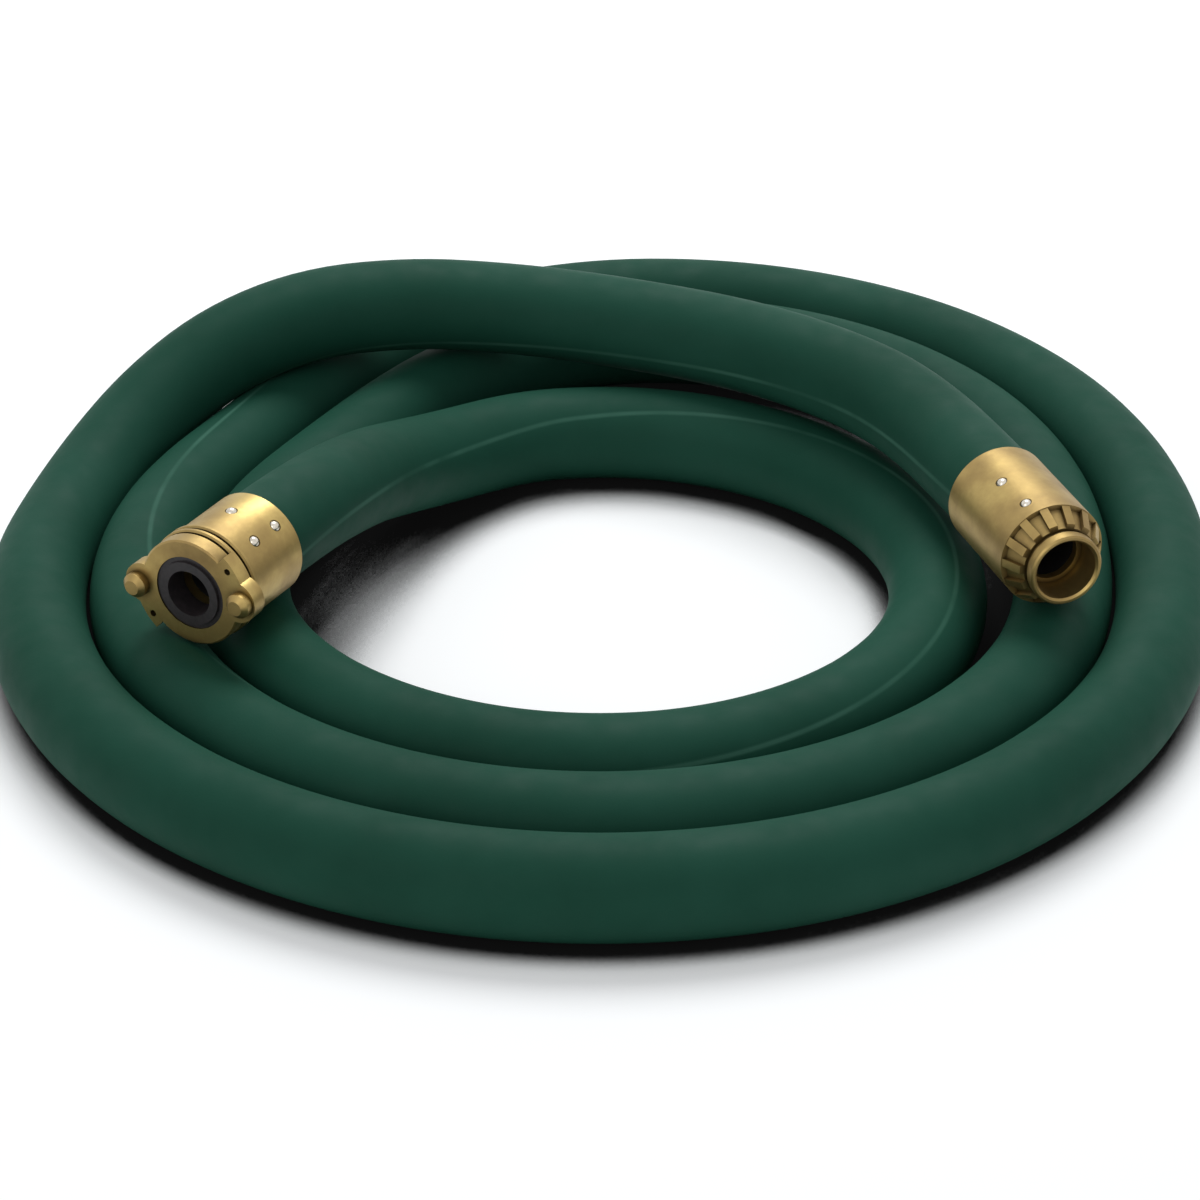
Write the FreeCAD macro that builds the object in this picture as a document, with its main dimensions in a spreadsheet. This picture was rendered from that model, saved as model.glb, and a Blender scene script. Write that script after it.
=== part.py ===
import FreeCAD, Part
import math
import os

# Coupled blast hose, coiled and lying on the floor.
# Units are millimetres. +Z is up, the floor is Z = 0, and the origin is
# under the middle of the coil's outline. The route is laid out about the
# middle of the front half circle, and moved at the end by middle_x, middle_y.

doc = FreeCAD.newDocument("blast_hose")
sheet = doc.addObject("Spreadsheet::Sheet", "Sizes")
sheet.Label = "Sizes"

values = [
    # hose
    ("hose_diameter", 47.6),
    ("hose_bore", 25.4),
    ("lining_thickness", 6.0),
    ("ply_thickness", 2.2),
    ("bond_clearance", 0.05),
    # coil
    ("lane_gap", 1.6),
    ("front_radius", 175.0),
    ("inner_lane_tuck", 23.0),
    ("back_bulge", 44.0),
    ("bulge_start", -10.0),
    ("bulge_end", 150.0),
    ("lane_step_start", 150.0),
    ("lane_step_turn", 65.0),
    ("coil_start_angle", 105.0),
    ("coil_end_angle", -900.0),
    ("station_step", 22.5),
    ("ground_flat_depth", 0.5),
    ("middle_x", 1.384),
    ("middle_y", 19.842),
    # couplings in common
    ("claw_insert_depth", 36.0),
    ("nozzle_insert_depth", 58.0),
    ("free_straight", 10.0),
    ("shell_clearance", 0.35),
    ("butt_clearance", 0.2),
    ("bore_edge_break", 1.0),
    ("rim_edge_break", 0.8),
    ("screw_head_diameter", 5.4),
    ("screw_head_height", 1.8),
    ("screw_shank_diameter", 3.4),
    ("screw_length", 6.0),
    ("screw_clearance", 0.05),
    ("screw_spot_depth", 0.5),
    # claw coupling
    ("claw_shell_diameter", 52.0),
    ("claw_shell_length", 38.0),
    ("claw_ridge_diameter", 54.4),
    ("claw_ridge_length", 3.0),
    ("claw_ridge_pitch", 4.4),
    ("claw_head_diameter", 48.0),
    ("claw_head_length", 17.0),
    ("claw_bore", 25.4),
    ("gasket_diameter", 36.4),
    ("gasket_seat_depth", 12.0),
    ("gasket_height", 12.9),
    ("gasket_bore", 23.0),
    ("gasket_clearance", 0.1),
    ("gasket_lip_height", 1.6),
    ("gasket_lip_width", 2.2),
    ("flange_thickness", 8.0),
    ("flange_diameter", 53.0),
    ("ear_reach", 31.0),
    ("ear_turn", 45.0),
    ("lug_reach", 36.0),
    ("lug_radius", 10.5),
    ("lug_hook_radius", 6.0),
    ("lug_hook_set_back", 1.2),
    ("lug_hook_tip_height", 2.4),
    ("lug_hook_tip_radius", 3.6),
    ("lug_hook_height", 3.6),
    ("lug_angle", 5.0),
    ("lug_pin_hole", 3.2),
    ("lug_pin_distance", 27.4),
    ("lug_pin_angle", 38.0),
    # nozzle holder
    ("nozzle_shell_diameter", 51.6),
    ("nozzle_shell_length", 62.0),
    ("nozzle_taper_start", 46.4),
    ("nozzle_taper_end", 36.6),
    ("nozzle_taper_length", 9.5),
    ("grip_rib_width", 4.2),
    ("grip_rib_count", 14.0),
    ("grip_rib_height", 2.2),
    ("nozzle_neck_diameter", 34.0),
    ("nozzle_neck_length", 2.5),
    ("nozzle_ring_diameter", 35.8),
    ("nozzle_ring_length", 5.3),
    ("nozzle_mouth", 30.0),
    ("nozzle_mouth_depth", 17.0),
    ("nozzle_throat", 25.4),
]
row = 1
for name, value in values:
    sheet.set("A" + str(row), name)
    sheet.set("B" + str(row), str(value))
    sheet.setAlias("B" + str(row), name)
    row = row + 1
doc.recompute()


def size(name):
    return float(sheet.get(name))


hose_diameter = size("hose_diameter")
lane_pitch = hose_diameter + size("lane_gap")
floor_height = hose_diameter / 2

# Where each coupling's rear rim sits, and the way it points.
claw_rear = FreeCAD.Vector(-161.2, -58.2, 74.0)
claw_way = FreeCAD.Vector(-27.5, -48.7, 0.0).normalize()
nozzle_rear = FreeCAD.Vector(190.9, -10.1, 73.8)
nozzle_way = FreeCAD.Vector(25.6, -75.1, 0.0).normalize()

# Hand-chosen points of the two free ends, in the order of travel.
tail_points = [
    (-137.0, -11.6, 70.8),
    (-117.7, 37.8, 57.6),
    (-104.6, 71.4, 44.5),
    (-82.5, 111.3, 29.8),
]
climb_points = [
    (-269.9, 44.7, 24.2),
    (-251.8, 105.3, 32.2),
    (-228.4, 143.0, 47.1),
    (-195.9, 172.0, 63.2),
    (-151.6, 192.8, 73.5),
    (-99.5, 203.2, 74.3),
    (-53.3, 204.0, 71.3),
    (-0.4, 196.5, 68.3),
    (74.0, 166.7, 68.2),
    (128.7, 119.4, 71.2),
    (160.6, 70.1, 73.4),
]


def ease(share):
    share = min(1.0, max(0.0, share))
    return share * share * (3 - 2 * share)


def coil_radius(angle):
    """Centreline radius of the floor turns at an unwrapped angle."""
    step_one = size("lane_step_start") - 360
    step_two = step_one - 360
    lane_b = ease((step_one - angle) / size("lane_step_turn"))
    lane_c = ease((step_two - angle) / size("lane_step_turn"))
    start = size("bulge_start")
    end = size("bulge_end")
    local = (angle - start) % 360
    bulge = 0.0
    if local <= end - start:
        wave = math.sin(math.radians(180 * local / (end - start)))
        bulge = size("back_bulge") * wave * wave * lane_b
    tuck = 0.0
    if angle > -90:
        half = math.sin(math.radians((angle + 90) / 2))
        tuck = size("inner_lane_tuck") * half * half
    return size("front_radius") - tuck + lane_pitch * (lane_b + lane_c) + bulge


def floor_point(angle):
    radius = coil_radius(angle)
    turn = math.radians(angle)
    return FreeCAD.Vector(radius * math.cos(turn), radius * math.sin(turn), floor_height)


stations = [claw_rear - claw_way * size("free_straight")]
for point in tail_points:
    stations.append(FreeCAD.Vector(*point))
for angle in (size("coil_start_angle"), 90.0, 67.5, 45.0, 22.5):
    stations.append(floor_point(angle))
angle = 0.0
while angle > size("coil_end_angle") - 1:
    stations.append(floor_point(angle))
    angle = angle - size("station_step")
for point in climb_points:
    stations.append(FreeCAD.Vector(*point))
stations.append(nozzle_rear - nozzle_way * size("free_straight"))


def tangent_at(index):
    """Direction of travel at a station, from the circle through three."""
    if index == 0:
        return claw_way * -1
    if index == len(stations) - 1:
        return FreeCAD.Vector(nozzle_way)
    before = stations[index] - stations[index - 1]
    after = stations[index + 1] - stations[index]
    blend = before * (after.Length / before.Length) + after * (before.Length / after.Length)
    if abs(stations[index].z - floor_height) < 1e-6:
        blend.z = 0.0
    return blend.normalize()


tangents = [tangent_at(i) for i in range(len(stations))]
arc_radii = []
measured_points = []


def arc_or_line(start, way, end):
    """Edge leaving start along way and ending at end."""
    chord = end - start
    along = way.dot(chord) / chord.Length
    side = chord * (1 / chord.Length) - way * along
    if side.Length < 1e-6:
        for step in range(12):
            measured_points.append(start + chord * (step / 12.0))
        return Part.LineSegment(start, end).toShape()
    side_way = side * (1 / side.Length)
    half_turn = math.atan2(side.Length, along)
    radius = chord.Length / (2 * math.sin(half_turn))
    centre = start + side_way * radius
    arc_radii.append(radius)
    for step in range(12):
        turn = 2 * half_turn * step / 12.0
        measured_points.append(
            centre + way * (radius * math.sin(turn)) - side_way * (radius * math.cos(turn)))
    middle = centre + way * (radius * math.sin(half_turn)) - side_way * (radius * math.cos(half_turn))
    return Part.Arc(start, middle, end).toShape()


def biarc(start, way_in, end, way_out):
    """Two arcs that meet with one direction, tangent at both ends."""
    span = end - start
    ways = way_in + way_out
    bend = 2 * (1 - way_in.dot(way_out))
    reach = span.dot(ways)
    if bend < 1e-9:
        leg = span.Length * span.Length / (2 * reach)
    else:
        leg = (math.sqrt(reach * reach + bend * span.Length ** 2) - reach) / bend
    corner_one = start + way_in * leg
    corner_two = end - way_out * leg
    joint = (corner_one + corner_two) * 0.5
    way_joint = (corner_two - corner_one) * (1 / (corner_two - corner_one).Length)
    return [arc_or_line(start, way_in, joint), arc_or_line(joint, way_joint, end)]


claw_end = claw_rear + claw_way * size("claw_insert_depth")
nozzle_end = nozzle_rear + nozzle_way * size("nozzle_insert_depth")
route_edges = [arc_or_line(claw_end, claw_way * -1, stations[0])]
for i in range(len(stations) - 1):
    route_edges.extend(biarc(stations[i], tangents[i], stations[i + 1], tangents[i + 1]))
route_edges.append(arc_or_line(stations[-1], nozzle_way, nozzle_end))
measured_points.append(nozzle_end)
route = Part.Wire(route_edges)

# Least gap between strands, measured on points of the route.
run = [0.0]
for i in range(1, len(measured_points)):
    run.append(run[-1] + (measured_points[i] - measured_points[i - 1]).Length)
least = 1e9
for i in range(0, len(measured_points)):
    for j in range(i + 1, len(measured_points)):
        if run[j] - run[i] > 120:
            apart = (measured_points[i] - measured_points[j]).Length
            least = min(least, apart)
print("route edges", len(route_edges), "length mm", round(route.Length, 1))
print("least gap of the hose to itself mm", round(least - hose_diameter, 2))
print("least and greatest arc radius mm", round(min(arc_radii), 1), round(max(arc_radii), 1))
print("arc radii mm", [round(r) for r in arc_radii])


def swept(diameter):
    """Solid rod of this diameter along the whole route."""
    ring = Part.Wire(Part.Circle(FreeCAD.Vector(), FreeCAD.Vector(0, 0, 1), diameter / 2).toShape())
    ring.Placement = FreeCAD.Placement(
        claw_end, FreeCAD.Rotation(FreeCAD.Vector(0, 0, 1), FreeCAD.Vector(), claw_way * -1, "ZXY"))
    rod = route.makePipeShell([ring], True, False)
    if not rod.isValid():
        print("rod not valid", diameter)
    print("rod volume over route times section",
          round(rod.Volume / (route.Length * math.pi * diameter * diameter / 4), 5))
    return rod


def local_frame(origin, way):
    """Placement whose Z runs along way and whose X is level."""
    level = FreeCAD.Vector(0, 0, 1).cross(way).normalize()
    up = way.cross(level)
    turn = FreeCAD.Rotation(level, up, way, "ZXY")
    return FreeCAD.Placement(origin, turn)


claw_frame = local_frame(claw_rear, claw_way)
nozzle_frame = local_frame(nozzle_rear, nozzle_way)

# Screw places: distance from the rear rim, angle round the shell.
claw_screw_places = [(19.0, 90.0), (10.0, 46.0), (27.0, 46.0), (19.0, 270.0)]
nozzle_screw_places = [(28.0, 117.0), (52.0, 113.0), (40.0, 295.0)]


def screw_placement(place, shell_diameter):
    """Frame on the shell's skin, Z pointing at the hose's axis."""
    turn = FreeCAD.Rotation(FreeCAD.Vector(0, 0, 1), place[1])
    out = turn.multVec(FreeCAD.Vector(1, 0, 0))
    seat = out * (shell_diameter / 2 - size("screw_spot_depth"))
    seat.z = place[0]
    return FreeCAD.Placement(seat, FreeCAD.Rotation(FreeCAD.Vector(0, 0, 1), out * -1))


def primitive(kind, name, sizes, base_z=None):
    """Part primitive bound to the sheet; base_z is an expression."""
    item = doc.addObject("Part::" + kind, name)
    for key in sizes:
        item.setExpression(key, sizes[key])
    if base_z:
        item.setExpression("Placement.Base.z", base_z)
    return item


def cylinder(name, diameter, height, base_z=None):
    return primitive("Cylinder", name, {"Radius": "(" + diameter + ") / 2", "Height": height}, base_z)


def cone(name, diameter_one, diameter_two, height, base_z=None):
    return primitive(
        "Cone", name,
        {"Radius1": "(" + diameter_one + ") / 2", "Radius2": "(" + diameter_two + ") / 2",
         "Height": height}, base_z)


def fuse(name, items):
    item = doc.addObject("Part::MultiFuse", name)
    item.Shapes = items
    item.Refine = True
    return item


def cut(name, base, tool):
    item = doc.addObject("Part::Cut", name)
    item.Base = base
    item.Tool = tool
    item.Refine = True
    return item


def screw_solids(prefix, places, shell_name, extra):
    """Dome head and shank of each screw, in the coupling's frame."""
    made = []
    for number, place in enumerate(places):
        at = screw_placement(place, size(shell_name))
        tag = prefix + str(number + 1)
        shank = cylinder(tag + "_shank", "Sizes.screw_shank_diameter + 2 * " + extra, "Sizes.screw_length")
        shank.Placement = at
        made.append((shank, at, tag))
    return made


# Claw coupling: shell, head, ridges, flange, ears and lugs.
head_start = "Sizes.claw_shell_length"
face = head_start + " + Sizes.claw_head_length"
flange_start = face + " - Sizes.flange_thickness"
claw_outer = [
    cone("claw_rim", "Sizes.claw_shell_diameter - 2 * Sizes.rim_edge_break", "Sizes.claw_shell_diameter",
         "Sizes.rim_edge_break"),
    cylinder("claw_shell", "Sizes.claw_shell_diameter", "Sizes.claw_shell_length - Sizes.rim_edge_break",
             "Sizes.rim_edge_break"),
    cylinder("claw_head", "Sizes.claw_head_diameter", "Sizes.claw_head_length", head_start),
    cylinder("claw_flange", "Sizes.flange_diameter", "Sizes.flange_thickness - Sizes.rim_edge_break",
             flange_start),
    cone("claw_flange_break", "Sizes.flange_diameter", "Sizes.flange_diameter - 2 * Sizes.rim_edge_break",
         "Sizes.rim_edge_break", face + " - Sizes.rim_edge_break"),
]
for number in range(2):
    start = head_start + " + " + str(number) + " * Sizes.claw_ridge_pitch"
    tag = "claw_ridge_" + str(number + 1)
    claw_outer.append(
        cylinder(tag, "Sizes.claw_ridge_diameter", "Sizes.claw_ridge_length - 1.6", start + " + 0.8"))
    claw_outer.append(
        cone(tag + "_rear", "Sizes.claw_ridge_diameter - 1.6", "Sizes.claw_ridge_diameter", "0.8", start))
    claw_outer.append(
        cone(tag + "_front", "Sizes.claw_ridge_diameter", "Sizes.claw_ridge_diameter - 1.6", "0.8",
             start + " + Sizes.claw_ridge_length - 0.8"))
flange_base = size("claw_shell_length") + size("claw_head_length") - size("flange_thickness")
for number in range(2):
    swing = size("lug_angle") + 180.0 * number
    tag = str(number + 1)
    lug_turn = FreeCAD.Rotation(FreeCAD.Vector(0, 0, 1), swing)
    ear = primitive(
        "Cylinder", "claw_ear_" + tag,
        {"Radius": "Sizes.ear_reach", "Angle": "Sizes.ear_turn", "Height": "Sizes.flange_thickness"})
    ear.Placement = FreeCAD.Placement(FreeCAD.Vector(0, 0, flange_base), lug_turn)
    lug = cylinder("claw_lug_" + tag, "2 * Sizes.lug_radius", "Sizes.flange_thickness")
    lug_middle = size("lug_reach") - size("lug_radius")
    lug.Placement = FreeCAD.Placement(
        lug_turn.multVec(FreeCAD.Vector(lug_middle, 0, flange_base)), FreeCAD.Rotation())
    hook = cylinder("claw_hook_" + tag, "2 * Sizes.lug_hook_radius",
                    "Sizes.flange_thickness + Sizes.lug_hook_height")
    hook_middle = size("lug_reach") - size("lug_hook_radius") - size("lug_hook_set_back")
    hook.Placement = FreeCAD.Placement(
        lug_turn.multVec(FreeCAD.Vector(hook_middle, 0, flange_base)), FreeCAD.Rotation())
    tip = cone("claw_hook_tip_" + tag, "2 * Sizes.lug_hook_radius", "2 * Sizes.lug_hook_tip_radius",
               "Sizes.lug_hook_tip_height")
    tip_base = flange_base + size("flange_thickness") + size("lug_hook_height")
    tip.Placement = FreeCAD.Placement(
        lug_turn.multVec(FreeCAD.Vector(hook_middle, 0, tip_base)), FreeCAD.Rotation())
    claw_outer.extend([ear, lug, hook, tip])
claw_solid = fuse("claw_solid", claw_outer)
claw_hollow = [
    cylinder("claw_socket", "Sizes.hose_diameter + 2 * Sizes.shell_clearance",
             "Sizes.claw_insert_depth + Sizes.butt_clearance"),
    cone("claw_socket_break", "Sizes.hose_diameter + 2 * Sizes.shell_clearance + 2 * Sizes.bore_edge_break",
         "Sizes.hose_diameter + 2 * Sizes.shell_clearance", "Sizes.bore_edge_break"),
    cylinder("claw_throat", "Sizes.claw_bore", "100"),
    cylinder("claw_seat", "Sizes.gasket_diameter + 2 * Sizes.gasket_clearance", "50",
             face + " - Sizes.gasket_seat_depth"),
]
for number in range(2):
    swing = FreeCAD.Rotation(FreeCAD.Vector(0, 0, 1), size("lug_pin_angle") + 180.0 * number)
    pin = cylinder("claw_pin_hole_" + str(number + 1), "Sizes.lug_pin_hole", "60")
    pin.Placement = FreeCAD.Placement(
        swing.multVec(FreeCAD.Vector(size("lug_pin_distance"), 0, flange_base - 5)), FreeCAD.Rotation())
    claw_hollow.append(pin)
for shank, at, tag in screw_solids("claw_hole_", claw_screw_places, "claw_shell_diameter",
                                   "Sizes.screw_clearance"):
    claw_hollow.append(shank)
    spot = cylinder(tag + "_spot", "Sizes.screw_head_diameter + 0.6", "10")
    spot.Placement = at.multiply(FreeCAD.Placement(FreeCAD.Vector(0, 0, -10), FreeCAD.Rotation()))
    claw_hollow.append(spot)
claw_coupling_body = cut("claw_coupling_body", claw_solid, fuse("claw_hollow", claw_hollow))
claw_coupling_body.Placement = claw_frame

# Gasket: ring with a raised lip at its mouth.
gasket_base = face + " - Sizes.gasket_seat_depth + 0.05"
gasket_solid = fuse("gasket_solid", [
    cylinder("gasket_ring", "Sizes.gasket_diameter", "Sizes.gasket_height - Sizes.gasket_lip_height",
             gasket_base),
    cylinder("gasket_lip", "Sizes.gasket_bore + 4 * Sizes.gasket_lip_width", "Sizes.gasket_height",
             gasket_base),
])
gasket = cut("claw_gasket", gasket_solid, cylinder("gasket_hole", "Sizes.gasket_bore", "200"))
gasket.Placement = claw_frame

# Nozzle holder: shell, ribbed taper, neck and nose ring.
taper_start = "Sizes.nozzle_shell_length"
neck_start = taper_start + " + Sizes.nozzle_taper_length"
ring_start = neck_start + " + Sizes.nozzle_neck_length"
nose = ring_start + " + Sizes.nozzle_ring_length"
ribs = []
for number in range(int(size("grip_rib_count"))):
    rib = primitive(
        "Box", "grip_rib_" + str(number + 1),
        {"Length": "Sizes.nozzle_shell_diameter / 2 - 16", "Width": "Sizes.grip_rib_width",
         "Height": "Sizes.nozzle_taper_length"})
    rib_turn = FreeCAD.Rotation(FreeCAD.Vector(0, 0, 1), 360.0 * number / size("grip_rib_count"))
    rib_base = rib_turn.multVec(
        FreeCAD.Vector(16, -size("grip_rib_width") / 2, size("nozzle_shell_length")))
    rib.Placement = FreeCAD.Placement(rib_base, rib_turn)
    ribs.append(rib)
rib_limit = cone(
    "rib_limit", "Sizes.nozzle_taper_start + 2 * Sizes.grip_rib_height",
    "Sizes.nozzle_taper_end + 2 * Sizes.grip_rib_height", "Sizes.nozzle_taper_length", taper_start)
grip_ribs = doc.addObject("Part::MultiCommon", "grip_ribs")
grip_ribs.Shapes = [fuse("rib_star", ribs), rib_limit]
nozzle_outer = [
    cone("nozzle_rim", "Sizes.nozzle_shell_diameter - 2 * Sizes.rim_edge_break",
         "Sizes.nozzle_shell_diameter", "Sizes.rim_edge_break"),
    cylinder("nozzle_shell", "Sizes.nozzle_shell_diameter",
             "Sizes.nozzle_shell_length - Sizes.rim_edge_break", "Sizes.rim_edge_break"),
    cone("nozzle_taper", "Sizes.nozzle_taper_start", "Sizes.nozzle_taper_end",
         "Sizes.nozzle_taper_length", taper_start),
    cylinder("nozzle_neck", "Sizes.nozzle_neck_diameter", "Sizes.nozzle_neck_length", neck_start),
    cylinder("nozzle_ring", "Sizes.nozzle_ring_diameter", "Sizes.nozzle_ring_length - 0.8", ring_start),
    cone("nozzle_ring_break", "Sizes.nozzle_ring_diameter", "Sizes.nozzle_ring_diameter - 1.6", "0.8",
         nose + " - 0.8"),
    grip_ribs,
]
nozzle_solid = fuse("nozzle_solid", nozzle_outer)
nozzle_hollow = [
    cylinder("nozzle_socket", "Sizes.hose_diameter + 2 * Sizes.shell_clearance",
             "Sizes.nozzle_insert_depth + Sizes.butt_clearance"),
    cone("nozzle_socket_break",
         "Sizes.hose_diameter + 2 * Sizes.shell_clearance + 2 * Sizes.bore_edge_break",
         "Sizes.hose_diameter + 2 * Sizes.shell_clearance", "Sizes.bore_edge_break"),
    cylinder("nozzle_bore", "Sizes.nozzle_throat", "150"),
    cylinder("nozzle_mouth_bore", "Sizes.nozzle_mouth", "100", nose + " - Sizes.nozzle_mouth_depth"),
    cone("nozzle_mouth_break", "Sizes.nozzle_mouth", "Sizes.nozzle_mouth + 2 * Sizes.bore_edge_break",
         "Sizes.bore_edge_break", nose + " - Sizes.bore_edge_break"),
]
for shank, at, tag in screw_solids("nozzle_hole_", nozzle_screw_places, "nozzle_shell_diameter",
                                   "Sizes.screw_clearance"):
    nozzle_hollow.append(shank)
    spot = cylinder(tag + "_spot", "Sizes.screw_head_diameter + 0.6", "10")
    spot.Placement = at.multiply(FreeCAD.Placement(FreeCAD.Vector(0, 0, -10), FreeCAD.Rotation()))
    nozzle_hollow.append(spot)
nozzle_holder_body = cut("nozzle_holder_body", nozzle_solid, fuse("nozzle_hollow", nozzle_hollow))
nozzle_holder_body.Placement = nozzle_frame


def screw_group(name, places, shell_name, frame):
    """One node with every screw of a coupling as a solid of its own."""
    solids = []
    head = size("screw_head_diameter") / 2
    tall = size("screw_head_height")
    ball = (head * head + tall * tall) / (2 * tall)
    for place in places:
        at = frame.multiply(screw_placement(place, size(shell_name)))
        shank = Part.makeCylinder(size("screw_shank_diameter") / 2, size("screw_length") - 1.5)
        point = Part.makeCone(
            size("screw_shank_diameter") / 2, 0.4, 1.3, FreeCAD.Vector(0, 0, size("screw_length") - 1.5))
        dome = Part.makeSphere(ball, FreeCAD.Vector(0, 0, ball - tall))
        keep = Part.makeCylinder(head, tall, FreeCAD.Vector(0, 0, -tall))
        screw = shank.fuse([point, dome.common(keep)]).removeSplitter()
        screw.Placement = at
        solids.append(screw)
    item = doc.addObject("Part::Feature", name)
    item.Shape = Part.makeCompound(solids)
    item.Placement = FreeCAD.Placement()
    return item


claw_screws = screw_group("claw_screws", claw_screw_places, "claw_shell_diameter", claw_frame)
nozzle_screws = screw_group("nozzle_screws", nozzle_screw_places, "nozzle_shell_diameter", nozzle_frame)


def screw_holes(places, shell_name, frame):
    holes = []
    for place in places:
        at = frame.multiply(screw_placement(place, size(shell_name)))
        hole = Part.makeCylinder(
            size("screw_shank_diameter") / 2 + size("screw_clearance"), size("screw_length") + 0.2)
        hole.Placement = at
        holes.append(hole)
    return holes


# Hose: lining, textile plies and cover, cut flat where it lies on the floor.
bond = 2 * size("bond_clearance")
lining_diameter = size("hose_bore") + 2 * size("lining_thickness")
ply_diameter = lining_diameter + bond + 2 * size("ply_thickness")
floor_slab = Part.makeBox(900, 900, 20, FreeCAD.Vector(-450, -450, size("ground_flat_depth") - 20))
holes = screw_holes(claw_screw_places, "claw_shell_diameter", claw_frame)
holes = holes + screw_holes(nozzle_screw_places, "nozzle_shell_diameter", nozzle_frame)
round_cover = swept(hose_diameter)
flat_pieces = round_cover.cut(floor_slab).Solids
flat_cover = max(flat_pieces, key=lambda solid: solid.Volume)
print("volume taken off by the flat", round(round_cover.Volume - flat_cover.Volume))
to_floor = FreeCAD.Vector(-size("middle_x"), -size("middle_y"), -size("ground_flat_depth"))
cover_shape = flat_cover.cut(swept(ply_diameter + bond)).cut(holes)
ply_shape = swept(ply_diameter).cut(swept(lining_diameter + bond)).cut(holes)
lining_shape = swept(lining_diameter).cut(swept(size("hose_bore")))
hose_cover = doc.addObject("Part::Feature", "hose_cover")
hose_cover.Shape = cover_shape
hose_cover.Placement = FreeCAD.Placement(to_floor, FreeCAD.Rotation())
hose_plies = doc.addObject("Part::Feature", "hose_plies")
hose_plies.Shape = ply_shape
hose_plies.Placement = FreeCAD.Placement(to_floor, FreeCAD.Rotation())
hose_lining = doc.addObject("Part::Feature", "hose_lining")
hose_lining.Shape = lining_shape
hose_lining.Placement = FreeCAD.Placement(to_floor, FreeCAD.Rotation())
print("cover volume", round(cover_shape.Volume), "solids", len(cover_shape.Solids))
print("plies volume", round(ply_shape.Volume), "solids", len(ply_shape.Solids))
print("lining volume", round(lining_shape.Volume), "solids", len(lining_shape.Solids))

# The couplings and screws move with the hose.
for item in (claw_coupling_body, gasket, nozzle_holder_body):
    item.Placement = FreeCAD.Placement(item.Placement.Base + to_floor, item.Placement.Rotation)
for item in (claw_screws, nozzle_screws):
    item.Placement = FreeCAD.Placement(to_floor, FreeCAD.Rotation())

nodes = [
    (hose_cover, "hose_cover"),
    (hose_plies, "hose_plies"),
    (hose_lining, "hose_lining"),
    (claw_coupling_body, "claw_coupling_body"),
    (gasket, "claw_gasket"),
    (claw_screws, "claw_coupling_screws"),
    (nozzle_holder_body, "nozzle_holder_body"),
    (nozzle_screws, "nozzle_holder_screws"),
]
doc.recompute()
os.makedirs("parts", exist_ok=True)
for item, label in nodes:
    item.Label = label
for item in doc.Objects:
    if "Invalid" in item.State or "Error" in item.State:
        raise RuntimeError(item.Name + " has state " + str(item.State))
for item, label in nodes:
    if item.Shape.isNull() or not item.Shape.isValid():
        raise RuntimeError(label + " has a bad shape")
    box = item.Shape.optimalBoundingBox(False)
    print(label, "solids", len(item.Shape.Solids), "volume", round(item.Shape.Volume),
          "z", round(box.ZMin, 3), round(box.ZMax, 3))
    item.Shape.exportStep("parts/" + label + ".step")
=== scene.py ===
import math

import bpy
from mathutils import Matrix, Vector


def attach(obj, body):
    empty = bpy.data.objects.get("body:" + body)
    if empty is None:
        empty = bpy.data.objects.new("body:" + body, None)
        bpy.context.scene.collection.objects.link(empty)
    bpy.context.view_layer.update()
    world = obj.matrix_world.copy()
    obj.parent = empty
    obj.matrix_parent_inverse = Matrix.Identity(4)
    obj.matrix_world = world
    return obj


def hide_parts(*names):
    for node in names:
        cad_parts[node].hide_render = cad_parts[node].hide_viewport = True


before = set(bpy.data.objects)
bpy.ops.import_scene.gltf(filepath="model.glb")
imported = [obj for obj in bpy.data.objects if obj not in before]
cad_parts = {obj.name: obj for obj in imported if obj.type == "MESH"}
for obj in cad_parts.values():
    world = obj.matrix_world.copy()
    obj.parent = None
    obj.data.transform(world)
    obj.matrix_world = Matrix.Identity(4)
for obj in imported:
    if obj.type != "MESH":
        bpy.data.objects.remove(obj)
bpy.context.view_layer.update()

# Sizes in mm, as in the part's source
MM = 0.001
HOSE_RADIUS = 23.8
COVER_INNER_RADIUS = 20.95
LINING_RADIUS = 18.7
BORE_RADIUS = 12.7
MIDDLE = (1.384, 19.842, 0.5)
CLAW_INSERT = 36.0
NOZZLE_INSERT = 58.0
CLAW_STRAIGHT = 25.0
NOZZLE_STRAIGHT = 30.0
FREE_STRAIGHT = 10.0
LANE_GAP = 1.6
LANE_PITCH = 2 * HOSE_RADIUS + LANE_GAP
FRONT_RADIUS = 175.0
INNER_LANE_TUCK = 23.0
BACK_BULGE = 44.0

# Angles of the coil in degrees, unwrapped and falling along the hose
COIL_START = 105.0
FIRST_EVEN_ANGLE = 90.0
COIL_END = -900.0
COIL_STEP = 11.25
BULGE_START = -10.0
BULGE_SPAN = 160.0
LANE_B_START = -210.0
LANE_C_START = -570.0
LANE_STEP_TURN = 65.0
TUCK_END = -90.0

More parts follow.
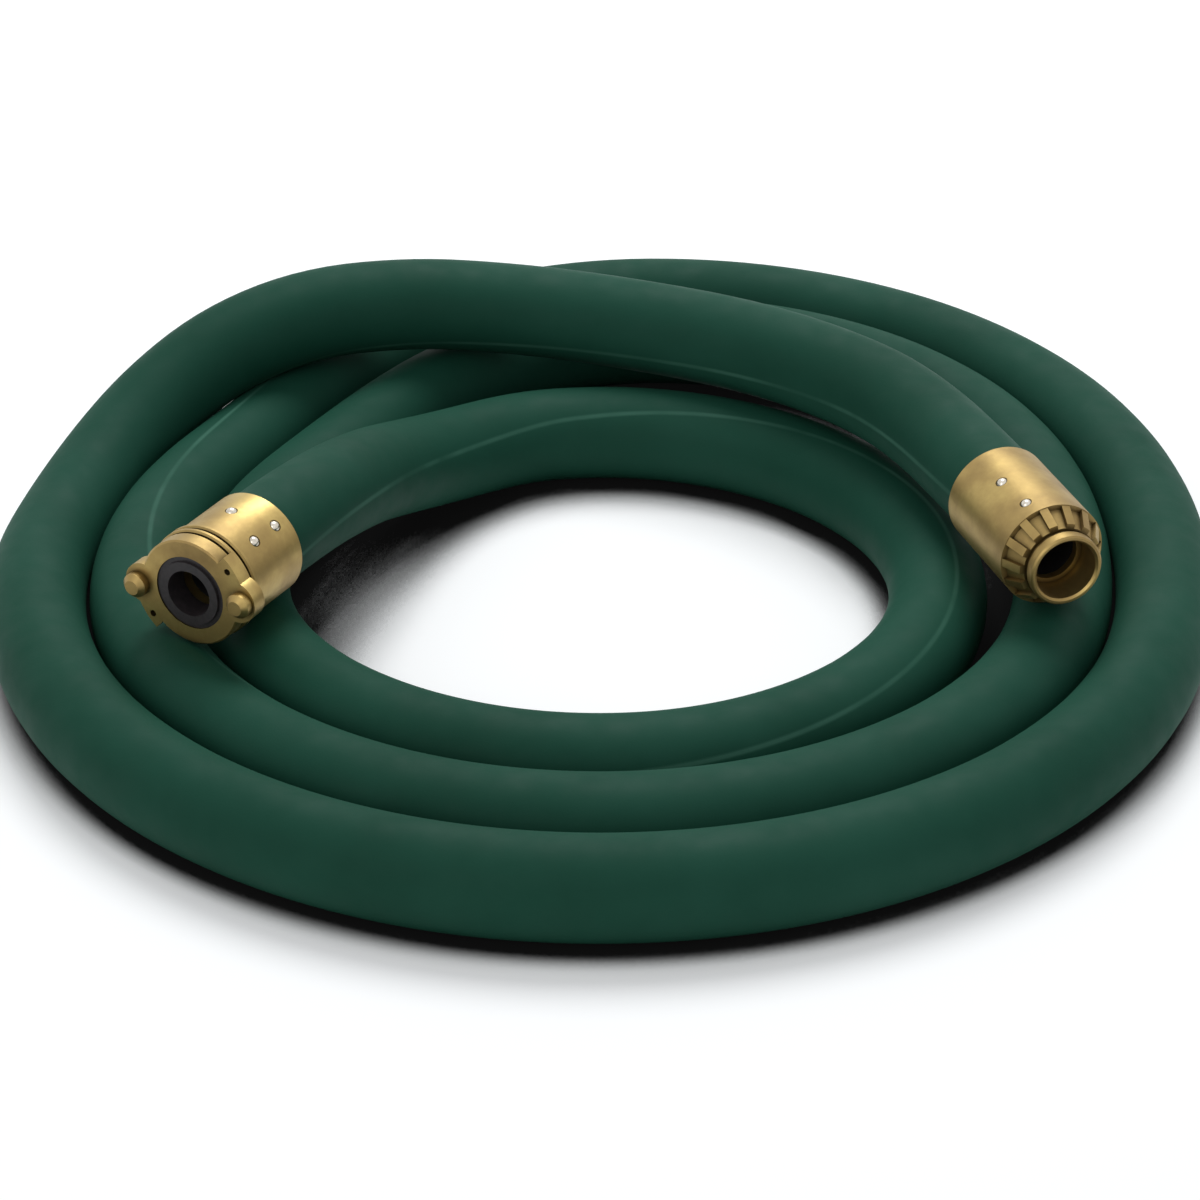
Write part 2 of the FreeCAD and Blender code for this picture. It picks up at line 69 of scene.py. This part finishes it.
# Listed points of the route in mm, the same as in the part's source
CLAW_REAR = Vector((-161.2, -58.2, 74.0))
CLAW_WAY = Vector((-27.5, -48.7, 0.0)).normalized()
NOZZLE_REAR = Vector((190.9, -10.1, 73.8))
NOZZLE_WAY = Vector((25.6, -75.1, 0.0)).normalized()
TAIL = [(-137.0, -11.6, 70.8), (-117.7, 37.8, 57.6), (-104.6, 71.4, 44.5), (-82.5, 111.3, 29.8)]
CLIMB = [
    (-269.9, 44.7, 24.2), (-251.8, 105.3, 32.2), (-228.4, 143.0, 47.1), (-195.9, 172.0, 63.2),
    (-151.6, 192.8, 73.5), (-99.5, 203.2, 74.3), (-53.3, 204.0, 71.3), (-0.4, 196.5, 68.3),
    (74.0, 166.7, 68.2), (128.7, 119.4, 71.2), (160.6, 70.1, 73.4),
]


def row(point):
    """A point of the route in mm, as metres in the row frame."""
    return Vector([(point[k] - MIDDLE[k]) * MM for k in range(3)])


def add(obj):
    bpy.context.collection.objects.link(obj)
    return obj


# Camera at the photograph's viewing angle
ELEVATION = math.radians(30.0)
DISTANCE = 1.914
LENS = 116.7
SENSOR = 36.0
PHOTO_SHIFT = 17 / 1200
aim = row((0.0, 0.0, 0.0))
camera = add(bpy.data.objects.new("camera", bpy.data.cameras.new("camera")))
camera.location = aim + Vector((0, -DISTANCE * math.cos(ELEVATION), DISTANCE * math.sin(ELEVATION)))
camera.rotation_euler = (math.pi / 2 - ELEVATION, 0, 0)
camera.data.lens = LENS
camera.data.sensor_width = SENSOR
camera.data.shift_y = PHOTO_SHIFT
camera.data.clip_start = 0.01
bpy.context.scene.camera = camera
bpy.context.scene.view_settings.view_transform = "Standard"


# Route of the hose
def ease(share):
    """Smooth step from nought to one."""
    share = min(1.0, max(0.0, share))
    return share * share * (3 - 2 * share)


def coil_radius(angle):
    """Centreline radius of the floor turns at an unwrapped angle."""
    lane_b = ease((LANE_B_START - angle) / LANE_STEP_TURN)
    lane_c = ease((LANE_C_START - angle) / LANE_STEP_TURN)
    local = (angle - BULGE_START) % 360
    bulge = 0.0
    if local <= BULGE_SPAN:
        bulge = BACK_BULGE * math.sin(math.radians(180 * local / BULGE_SPAN)) ** 2 * lane_b
    tuck = 0.0
    if angle > TUCK_END:
        tuck = INNER_LANE_TUCK * math.sin(math.radians((angle - TUCK_END) / 2)) ** 2
    return FRONT_RADIUS - tuck + LANE_PITCH * (lane_b + lane_c) + bulge


def coil_points():
    """Control points of the turns on the floor, set out so far that the spline keeps its radius."""
    angles = [COIL_START]
    angle = FIRST_EVEN_ANGLE
    while angle >= COIL_END:
        angles.append(angle)
        angle -= COIL_STEP
    reach = 1 / math.cos(math.radians(COIL_STEP / 2))
    made = []
    for angle in angles:
        radius = coil_radius(angle) * reach
        turn = math.radians(angle)
        made.append(Vector((radius * math.cos(turn), radius * math.sin(turn), HOSE_RADIUS)))
    return made


claw_end = CLAW_REAR + CLAW_WAY * CLAW_INSERT
nozzle_end = NOZZLE_REAR + NOZZLE_WAY * NOZZLE_INSERT
points = [claw_end, claw_end - CLAW_WAY * CLAW_STRAIGHT, CLAW_REAR - CLAW_WAY * FREE_STRAIGHT]
points += [Vector(point) for point in TAIL]
points += coil_points()
points += [Vector(point) for point in CLIMB]
points += [NOZZLE_REAR - NOZZLE_WAY * FREE_STRAIGHT, nozzle_end - NOZZLE_WAY * NOZZLE_STRAIGHT, nozzle_end]


def tube(name, radius, resolution):
    """A round tube on the route's own smooth spline.

    The radius is set on the points, because the box of a curve grows by it.
    """
    curve = bpy.data.curves.new(name, "CURVE")
    curve.dimensions = "3D"
    spline = curve.splines.new("NURBS")
    spline.points.add(len(points) - 1)
    for place, point in zip(spline.points, points):
        place.co = (*row(point), 1.0)
        place.radius = radius * MM
    spline.order_u = 3
    spline.use_endpoint_u = True
    spline.resolution_u = 6
    curve.bevel_depth = 1.0
    curve.bevel_resolution = resolution
    obj = add(bpy.data.objects.new(name, curve))
    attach(obj, "root")
    return obj


def end_face(name, middle, way):
    """Ring that closes the wall of the hose: lining, plies and cover."""
    side = Vector((0, 0, 1)).cross(way).normalized()
    up = way.cross(side)
    radii = (BORE_RADIUS, LINING_RADIUS, COVER_INNER_RADIUS, HOSE_RADIUS)
    count = 96
    verts = []
    for radius in radii:
        for i in range(count):
            turn = 2 * math.pi * i / count
            verts.append(row(middle + side * radius * math.cos(turn) + up * radius * math.sin(turn)))
    faces = []
    for ring in range(len(radii) - 1):
        inner = ring * count
        outer = inner + count
        for i in range(count):
            j = (i + 1) % count
            faces.append((inner + i, outer + i, outer + j, inner + j))
    mesh = bpy.data.meshes.new(name)
    mesh.from_pydata(verts, [], faces)
    for face in mesh.polygons:
        face.material_index = face.index // count
    obj = add(bpy.data.objects.new(name, mesh))
    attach(obj, "root")
    return obj


hose = tube("hose", HOSE_RADIUS, 14)
bore = tube("hose_bore", BORE_RADIUS, 6)
claw_face = end_face("hose_end_claw", claw_end, CLAW_WAY)
nozzle_face = end_face("hose_end_nozzle", nozzle_end, NOZZLE_WAY)
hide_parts("hose_cover", "hose_plies", "hose_lining")


# Helpers for node materials
def material(name):
    made = bpy.data.materials.new(name)
    made.use_nodes = True
    return made, made.node_tree, made.node_tree.nodes["Principled BSDF"]


def calculate(tree, operation, first, second=None):
    """Output of a Math node. Each input is a socket or a number."""
    made = tree.nodes.new("ShaderNodeMath")
    made.operation = operation
    for socket, value in zip(made.inputs, (first, second)):
        if isinstance(value, bpy.types.NodeSocket):
            tree.links.new(value, socket)
        elif value is not None:
            socket.default_value = value
    return made.outputs[0]


def noise(tree, scale, detail, rough, vector):
    made = tree.nodes.new("ShaderNodeTexNoise")
    made.inputs["Scale"].default_value = scale
    made.inputs["Detail"].default_value = detail
    made.inputs["Roughness"].default_value = rough
    tree.links.new(vector, made.inputs["Vector"])
    return made.outputs["Fac"]


def ramp(tree, source, stops):
    """Colour of a ramp. A stop is a place and a colour, or a place and a grey."""
    made = tree.nodes.new("ShaderNodeValToRGB")
    while len(made.color_ramp.elements) < len(stops):
        made.color_ramp.elements.new(0.5)
    for element, (place, colour) in zip(made.color_ramp.elements, stops):
        element.position = place
        element.color = (*colour, 1.0) if isinstance(colour, tuple) else (colour, colour, colour, 1.0)
    tree.links.new(source, made.inputs["Fac"])
    return made.outputs["Color"]


def bump(tree, source, strength, distance, normal=None):
    made = tree.nodes.new("ShaderNodeBump")
    made.inputs["Strength"].default_value = strength
    made.inputs["Distance"].default_value = distance
    tree.links.new(source, made.inputs["Height"])
    if normal is not None:
        tree.links.new(normal, made.inputs["Normal"])
    return made.outputs["Normal"]


def hollow_shade(tree, reach, low, high, dark):
    """Grey that falls from one to dark where the surface lies in a hollow, used as painted shade."""
    made = tree.nodes.new("ShaderNodeAmbientOcclusion")
    made.samples = 16
    made.inputs["Distance"].default_value = reach
    return ramp(tree, made.outputs["AO"], [(low, dark), (high, 1.0)])


def shade(tree, colour, amount):
    """A colour multiplied by an amount."""
    made = tree.nodes.new("ShaderNodeVectorMath")
    made.operation = "MULTIPLY"
    tree.links.new(colour, made.inputs[0])
    tree.links.new(amount, made.inputs[1])
    return made.outputs[0]


def coordinates(tree):
    return tree.nodes.new("ShaderNodeTexCoord").outputs["Object"]


# Materials
# Painted highlight streak: a lighter line that winds slowly round the hose
HIGHLIGHT_STREAK_TURNS = 2.1
HIGHLIGHT_STREAK_START = 0.50


def painted_highlight_streak(tree, where):
    """Mask of a painted highlight streak: a thin line that winds slowly round the hose, broken up in
    places.
    """
    split = tree.nodes.new("ShaderNodeSeparateXYZ")
    tree.links.new(tree.nodes.new("ShaderNodeTexCoord").outputs["UV"], split.inputs[0])
    along = calculate(tree, "MULTIPLY", split.outputs["X"], HIGHLIGHT_STREAK_TURNS)
    turned = calculate(tree, "ADD", along, split.outputs["Y"])
    offset = calculate(tree, "SUBTRACT", turned, HIGHLIGHT_STREAK_START)
    whole = calculate(tree, "ROUND", offset)
    apart = calculate(tree, "ABSOLUTE", calculate(tree, "SUBTRACT", offset, whole))
    line = ramp(tree, apart, [(0.004, 0.75), (0.010, 0.0)])
    streak_breaks = ramp(tree, noise(tree, 14.0, 3.0, 0.6, where), [(0.38, 0.25), (0.60, 1.0)])
    return shade(tree, line, streak_breaks)


def green_rubber():
    """Hose cover: matt green with soft patches, a fine grain and a painted highlight streak."""
    made, tree, shader = material("green_rubber")
    where = coordinates(tree)
    colour = ramp(tree, noise(tree, 9.0, 4.0, 0.6, where), [
        (0.30, (0.0080, 0.052, 0.032)),
        (0.50, (0.0105, 0.062, 0.039)),
        (0.72, (0.0140, 0.073, 0.047)),
    ])
    stripe = tree.nodes.new("ShaderNodeMix")
    stripe.data_type = "RGBA"
    tree.links.new(painted_highlight_streak(tree, where), stripe.inputs[0])
    tree.links.new(colour, stripe.inputs[6])
    # Lighter green of the painted highlight streak
    stripe.inputs[7].default_value = (0.050, 0.150, 0.105, 1)
    tree.links.new(stripe.outputs[2], shader.inputs["Base Color"])
    fine = noise(tree, 900.0, 3.0, 0.6, where)
    broad = noise(tree, 70.0, 3.0, 0.5, where)
    tree.links.new(ramp(tree, broad, [(0.3, 0.56), (0.7, 0.68)]), shader.inputs["Roughness"])
    grain = bump(tree, fine, 0.12, 0.0004)
    tree.links.new(bump(tree, broad, 0.10, 0.0012, grain), shader.inputs["Normal"])
    shader.inputs["Specular IOR Level"].default_value = 0.09
    return made


def grained(name, scale, dark, light, roughness, depth, distance):
    """Two-tone finish with one fine grain, for the black rubbers and the steel."""
    made, tree, shader = material(name)
    grain = noise(tree, scale[0], scale[1], scale[2], coordinates(tree))
    tree.links.new(ramp(tree, grain, [(0.3, dark), (0.7, light)]), shader.inputs["Base Color"])
    tree.links.new(bump(tree, grain, depth, distance), shader.inputs["Normal"])
    shader.inputs["Roughness"].default_value = roughness
    return made


def textile_plies():
    """Woven plies, which show only at the cut ends of the hose."""
    made, tree, shader = material("textile")
    weave = tree.nodes.new("ShaderNodeTexWave")
    weave.inputs["Scale"].default_value = 160.0
    weave.inputs["Distortion"].default_value = 1.5
    tree.links.new(coordinates(tree), weave.inputs["Vector"])
    threads = weave.outputs["Fac"]
    colour = ramp(tree, threads, [(0.2, (0.30, 0.27, 0.2)), (0.8, (0.52, 0.48, 0.38))])
    tree.links.new(colour, shader.inputs["Base Color"])
    tree.links.new(bump(tree, threads, 0.4, 0.0004), shader.inputs["Normal"])
    shader.inputs["Roughness"].default_value = 0.9
    return made


def cast_brass():
    """Cast brass: tarnish in soft patches, painted shade in the grooves, a cast grain."""
    made, tree, shader = material("brass")
    where = coordinates(tree)
    tarnish = noise(tree, 26.0, 5.0, 0.62, where)
    colour = ramp(tree, tarnish, [
        (0.28, (0.25, 0.170, 0.066)),
        (0.50, (0.37, 0.260, 0.094)),
        (0.72, (0.56, 0.420, 0.150)),
    ])
    # Painted shade: the base colour is darkened in grooves and hollows by ambient occlusion
    groove_shade = hollow_shade(tree, 0.006, 0.40, 0.92, 0.22)
    tree.links.new(shade(tree, colour, groove_shade), shader.inputs["Base Color"])
    tree.links.new(ramp(tree, tarnish, [(0.3, 0.50), (0.7, 0.36)]), shader.inputs["Roughness"])
    grain = bump(tree, noise(tree, 330.0, 4.0, 0.6, where), 0.22, 0.0004)
    lumps = noise(tree, 60.0, 3.0, 0.5, where)
    tree.links.new(bump(tree, lumps, 0.12, 0.0012, grain), shader.inputs["Normal"])
    shader.inputs["Metallic"].default_value = 0.9
    return made


def screw_steel():
    made = grained(
        "screw_steel", (700.0, 2.0, 0.5), (0.55, 0.50, 0.42), (0.72, 0.68, 0.6), 0.25, 0.08, 0.0002)
    made.node_tree.nodes["Principled BSDF"].inputs["Metallic"].default_value = 1.0
    return made


green = green_rubber()
black = grained(
    "black_rubber", (500.0, 3.0, 0.6), (0.008, 0.008, 0.009), (0.018, 0.017, 0.018), 0.55, 0.15, 0.0004)
gasket_black = grained(
    "gasket_rubber", (420.0, 3.0, 0.6), (0.012, 0.010, 0.011), (0.028, 0.022, 0.024), 0.5, 0.2, 0.0005)
textile = textile_plies()
brass = cast_brass()
steel = screw_steel()

hose.data.materials.append(green)
bore.data.materials.append(black)
for piece in (claw_face, nozzle_face):
    for paint in (black, textile, green):
        piece.data.materials.append(paint)
CAD_PAINT = {
    "claw_coupling_body": brass,
    "claw_gasket": gasket_black,
    "claw_coupling_screws": steel,
    "nozzle_holder_body": brass,
    "nozzle_holder_screws": steel,
}
for name, paint in CAD_PAINT.items():
    for place in bpy.data.objects[name].material_slots:
        place.material = paint


# Floor, world and lamps
FLOOR_HALF = 9.0
FLOOR_DROP = 0.0002
FLOOR_GREY = 0.86
FLOOR_LIFT = 0.27


def seen_rays(tree):
    """One for what the camera sees, by itself or in metal or glass."""
    path = tree.nodes.new("ShaderNodeLightPath").outputs
    direct = calculate(tree, "MAXIMUM", path["Is Camera Ray"], path["Is Glossy Ray"])
    return calculate(tree, "MAXIMUM", direct, path["Is Transmission Ray"])


def pale_floor():
    """White floor with painted shadow: black in the narrow gaps under and between the strands."""
    made, tree, shader = material("floor")
    # Painted shadow: base and emission colour go black where the floor lies in a hollow beside or between
    # strands
    gap_shadow = hollow_shade(tree, 0.09, 0.39, 0.62, 0.01)
    pale = tree.nodes.new("ShaderNodeRGB").outputs[0]
    pale.default_value = (FLOOR_GREY, FLOOR_GREY, FLOOR_GREY, 1)
    tree.links.new(shade(tree, pale, gap_shadow), shader.inputs["Base Color"])
    shader.inputs["Roughness"].default_value = 0.9
    shader.inputs["Specular IOR Level"].default_value = 0.0
    lift = calculate(tree, "MULTIPLY", seen_rays(tree), FLOOR_LIFT)
    tree.links.new(lift, shader.inputs["Emission Strength"])
    tree.links.new(gap_shadow, shader.inputs["Emission Color"])
    return made


def background(tree, colour, strength):
    made = tree.nodes.new("ShaderNodeBackground")
    made.inputs["Color"].default_value = (*colour, 1)
    made.inputs["Strength"].default_value = strength
    return made.outputs[0]


def light_world():
    """Soft light all round, which is seen as plain white."""
    world = bpy.data.worlds.new("world")
    world.use_nodes = True
    tree = world.node_tree
    tree.nodes.clear()
    mix = tree.nodes.new("ShaderNodeMixShader")
    out = tree.nodes.new("ShaderNodeOutputWorld")
    tree.links.new(seen_rays(tree), mix.inputs[0])
    tree.links.new(background(tree, (0.86, 0.89, 0.93), 0.45), mix.inputs[1])
    tree.links.new(background(tree, (1, 1, 1), 1.0), mix.inputs[2])
    tree.links.new(mix.outputs[0], out.inputs[0])
    bpy.context.scene.world = world


def lamp(name, place, size, power, colour):
    data = bpy.data.lights.new(name, "AREA")
    data.shape = "DISK"
    data.size = size
    data.energy = power
    data.color = colour
    obj = add(bpy.data.objects.new(name, data))
    obj.location = place
    obj.rotation_euler = (aim - Vector(place)).to_track_quat("-Z", "Y").to_euler()


h = FLOOR_HALF
mesh = bpy.data.meshes.new("floor")
mesh.from_pydata([(-h, -h, 0), (h, -h, 0), (h, h, 0), (-h, h, 0)], [], [(0, 1, 2, 3)])
mesh.materials.append(pale_floor())
floor = add(bpy.data.objects.new("floor", mesh))
floor.location.z = -FLOOR_DROP
light_world()
lamp("top_back", (0.2, 1.6, 2.6), 1.6, 58.0, (0.97, 0.99, 1.0))
lamp("front_fill", (-1.4, -2.4, 1.8), 1.8, 14.0, (1.0, 0.98, 0.95))
